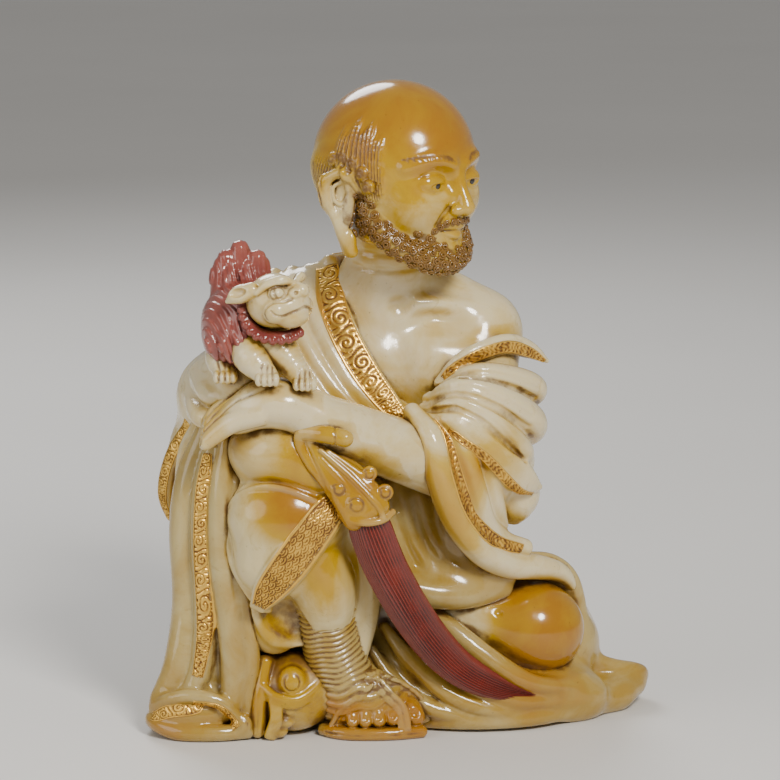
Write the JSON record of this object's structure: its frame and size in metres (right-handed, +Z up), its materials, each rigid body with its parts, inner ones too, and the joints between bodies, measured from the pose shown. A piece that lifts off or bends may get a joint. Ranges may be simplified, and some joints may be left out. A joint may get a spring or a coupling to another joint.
{
  "type": "carved stone figure",
  "caption": "Seated monk carved from fitted soapstones of several colours, with a lion cub on the forearm and a fly whisk falling over the lap; a free-standing desk ornament.",
  "frame": {"origin": "on the resting face, under the middle of the figure", "axes": "+Z up, +X to the figure's left, -Y towards the front of the raised knee"},
  "size_m": [0.0848, 0.0509, 0.1075],
  "materials": {
    "cream_stone": "waxed polish",
    "amber_stone": "waxed polish",
    "ochre_stone": "waxed polish",
    "red_stone": "waxed polish",
    "rose_stone": "waxed polish",
    "black_inlay": "polished"
  },
  "bodies": {
    "root": {"head": "amber_stone", "pupils": "black_inlay", "torso": "cream_stone", "left_forearm": "cream_stone", "left_sleeve": "cream_stone", "shoulder_robe": "cream_stone", "raised_leg": "amber_stone", "right_foot": "ochre_stone", "left_foot": "amber_stone", "left_knee": "amber_stone", "lower_robe": "ochre_stone", "whisk_head": "amber_stone", "whisk_hair": "red_stone", "lion_coat": "rose_stone", "lion_head": "cream_stone", "lion_legs": "cream_stone"}
  },
  "joints": []
}
